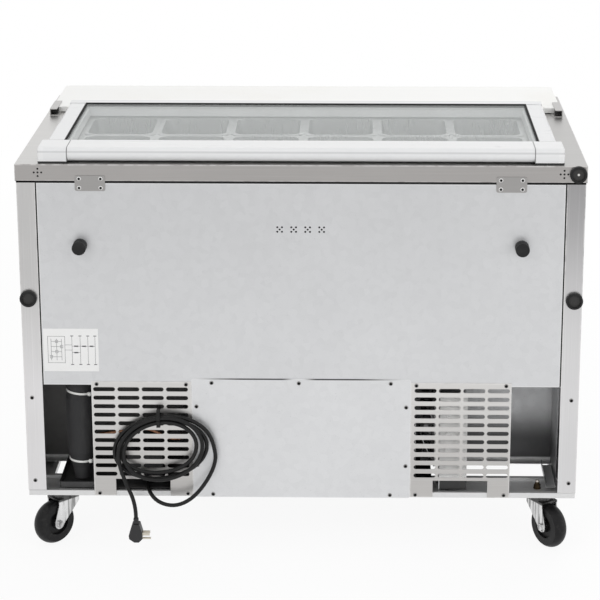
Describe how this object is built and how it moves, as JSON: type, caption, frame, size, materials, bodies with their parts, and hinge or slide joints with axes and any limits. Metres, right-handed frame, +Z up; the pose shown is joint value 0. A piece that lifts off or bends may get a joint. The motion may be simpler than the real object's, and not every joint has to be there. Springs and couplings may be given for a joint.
{
  "type": "refrigerated sandwich prep table",
  "caption": "Refrigerated prep table with a hinged glass lid over food pans, cutting board, front doors, rear machine bay with slotted grilles, hanging power cord and swivel casters.",
  "frame": {"origin": "on the floor under the middle of the table, measured without the power cord", "axes": "+Z up, -Y towards the cook and the doors, +Y towards the machine side, +X to the cook's right"},
  "size_m": [1.22, 0.808, 0.9225],
  "materials": {
    "stainless": "brushed stainless sheet",
    "galvanised": "galvanised sheet, satin grey",
    "foam": "rigid insulating foam",
    "liner": "bright aluminium sheet",
    "zinc": "bright zinc plate",
    "black_plastic": "black moulded plastic",
    "black_paint": "black enamel",
    "black_rubber": "matt black rubber",
    "white_plastic": "white moulded and extruded plastic",
    "pan_steel": "pressed stainless steel",
    "shelf_wire": "white coated wire",
    "fins": "bare aluminium",
    "pipe_foam": "black closed-cell foam",
    "copper": "copper pipe",
    "cord": "black flexible sheath",
    "glass": "clear toughened glass",
    "board": "white polyethylene board",
    "door_liner": "light grey moulded liner",
    "tyre": "black rubber tyre on a black hub",
    "button_grey": "grey push button"
  },
  "bodies": {
    "cabinet": {"side_panel_right": "stainless", "side_panel_left": "stainless", "back_panel": "galvanised", "insulation_slabs": "foam", "liner_sheets": "liner", "top_deck": "stainless", "base_frame": "galvanised", "front_frame": "stainless", "controller": "black_plastic", "rear_center_panel": "galvanised", "rear_grille_right": "stainless", "rear_grille_left": "stainless", "panel_fixings": "zinc", "rear_bumpers": "black_rubber", "lid_end_blocks": "white_plastic", "food_pans": "pan_steel", "pan_bars": "pan_steel", "board_clips": "stainless", "hinge_brackets": "zinc", "wire_shelves": "shelf_wire", "evaporator_cover": "liner", "evaporator_coil": "fins", "compressor_tray": "black_paint", "compressor": "black_paint", "condenser_coil": "fins", "condenser_shroud": "galvanised", "fan_motors": "black_paint", "insulated_pipe": "pipe_foam", "refrigerant_lines": "copper", "electrical_box": "black_plastic", "condensate_tray": "black_plastic", "caster_plates": "zinc", "cord_coil": "cord", "cord_lead": "cord", "cord_tail": "cord", "cord_plug": "cord"},
    "lid": {"lid_rear_rail": "white_plastic", "lid_rails": "white_plastic", "lid_glass": "glass", "lid_gasket": "black_rubber"},
    "board": {"cutting_board": "board"},
    "door_right": {"door_right_skin": "stainless", "door_right_core": "door_liner"},
    "door_left": {"door_left_skin": "stainless", "door_left_core": "door_liner"},
    "evaporator_fan": {"evaporator_fan": "black_plastic"},
    "condenser_fan": {"condenser_fan": "fins"},
    "button_set": {"button_set": "button_grey"},
    "button_up": {"button_up": "button_grey"},
    "button_down": {"button_down": "button_grey"},
    "swivel_rear_right": {"caster_rear_right_fork": "zinc"},
    "wheel_rear_right": {"caster_rear_right_wheel": "tyre"},
    "swivel_rear_left": {"caster_rear_left_fork": "zinc"},
    "wheel_rear_left": {"caster_rear_left_wheel": "tyre"},
    "swivel_front_right": {"caster_front_right_fork": "zinc"},
    "wheel_front_right": {"caster_front_right_wheel": "tyre"},
    "brake_front_right": {"caster_front_right_brake": "zinc"},
    "swivel_front_left": {"caster_front_left_fork": "zinc"},
    "wheel_front_left": {"caster_front_left_wheel": "tyre"},
    "brake_front_left": {"caster_front_left_brake": "zinc"}
  },
  "joints": [
    {"name": "lid_hinge", "type": "hinge", "parent": "cabinet", "child": "lid", "pos_m": [0, 0.3335, 0.90775], "axis": [-1, 0, 0], "range_deg": [0, 92]},
    {"name": "board_slide", "type": "slide", "parent": "cabinet", "child": "board", "axis": [0, -1, 0], "range_m": [0, 0.1]},
    {"name": "door_right_hinge", "type": "hinge", "parent": "cabinet", "child": "door_right", "pos_m": [0.59, -0.32, 0.48], "axis": [0, 0, 1], "range_deg": [0, 100]},
    {"name": "door_left_hinge", "type": "hinge", "parent": "cabinet", "child": "door_left", "pos_m": [-0.59, -0.32, 0.48], "axis": [0, 0, -1], "range_deg": [0, 100]},
    {"name": "evaporator_fan_spin", "type": "hinge", "parent": "cabinet", "child": "evaporator_fan", "pos_m": [0.2, 0.2262, 0.599], "axis": [0, 1, 0], "continuous": true},
    {"name": "condenser_fan_spin", "type": "hinge", "parent": "cabinet", "child": "condenser_fan", "pos_m": [-0.2885, 0.259, 0.256], "axis": [1, 0, 0], "continuous": true},
    {"name": "button_set_press", "type": "slide", "parent": "cabinet", "child": "button_set", "axis": [0, 1, 0], "range_m": [0, 0.001], "stiffness_N_per_m": 400},
    {"name": "button_up_press", "type": "slide", "parent": "cabinet", "child": "button_up", "axis": [0, 1, 0], "range_m": [0, 0.001], "stiffness_N_per_m": 400},
    {"name": "button_down_press", "type": "slide", "parent": "cabinet", "child": "button_down", "axis": [0, 1, 0], "range_m": [0, 0.001], "stiffness_N_per_m": 400},
    {"name": "swivel_rear_right", "type": "hinge", "parent": "cabinet", "child": "swivel_rear_right", "pos_m": [0.538, 0.298, 0.11], "axis": [0, 0, 1], "continuous": true},
    {"name": "roll_rear_right", "type": "hinge", "parent": "swivel_rear_right", "child": "wheel_rear_right", "pos_m": [0.55921, 0.31921, 0.05], "axis": [-0.7071, 0.7071, 0], "continuous": true},
    {"name": "swivel_rear_left", "type": "hinge", "parent": "cabinet", "child": "swivel_rear_left", "pos_m": [-0.538, 0.298, 0.11], "axis": [0, 0, 1], "continuous": true},
    {"name": "roll_rear_left", "type": "hinge", "parent": "swivel_rear_left", "child": "wheel_rear_left", "pos_m": [-0.55434, 0.32316, 0.05], "axis": [-0.8387, -0.5446, 0], "continuous": true},
    {"name": "swivel_front_right", "type": "hinge", "parent": "cabinet", "child": "swivel_front_right", "pos_m": [0.538, -0.2197, 0.11], "axis": [0, 0, 1], "continuous": true},
    {"name": "roll_front_right", "type": "hinge", "parent": "swivel_front_right", "child": "wheel_front_right", "pos_m": [0.538, -0.2497, 0.05], "axis": [1, 0, 0], "continuous": true},
    {"name": "brake_front_right", "type": "hinge", "parent": "swivel_front_right", "child": "brake_front_right", "pos_m": [0.538, -0.2717, 0.102], "axis": [1, 0, 0], "range_deg": [0, 12]},
    {"name": "swivel_front_left", "type": "hinge", "parent": "cabinet", "child": "swivel_front_left", "pos_m": [-0.538, -0.2197, 0.11], "axis": [0, 0, 1], "continuous": true},
    {"name": "roll_front_left", "type": "hinge", "parent": "swivel_front_left", "child": "wheel_front_left", "pos_m": [-0.538, -0.2497, 0.05], "axis": [1, 0, 0], "continuous": true},
    {"name": "brake_front_left", "type": "hinge", "parent": "swivel_front_left", "child": "brake_front_left", "pos_m": [-0.538, -0.2717, 0.102], "axis": [1, 0, 0], "range_deg": [0, 12]}
  ]
}
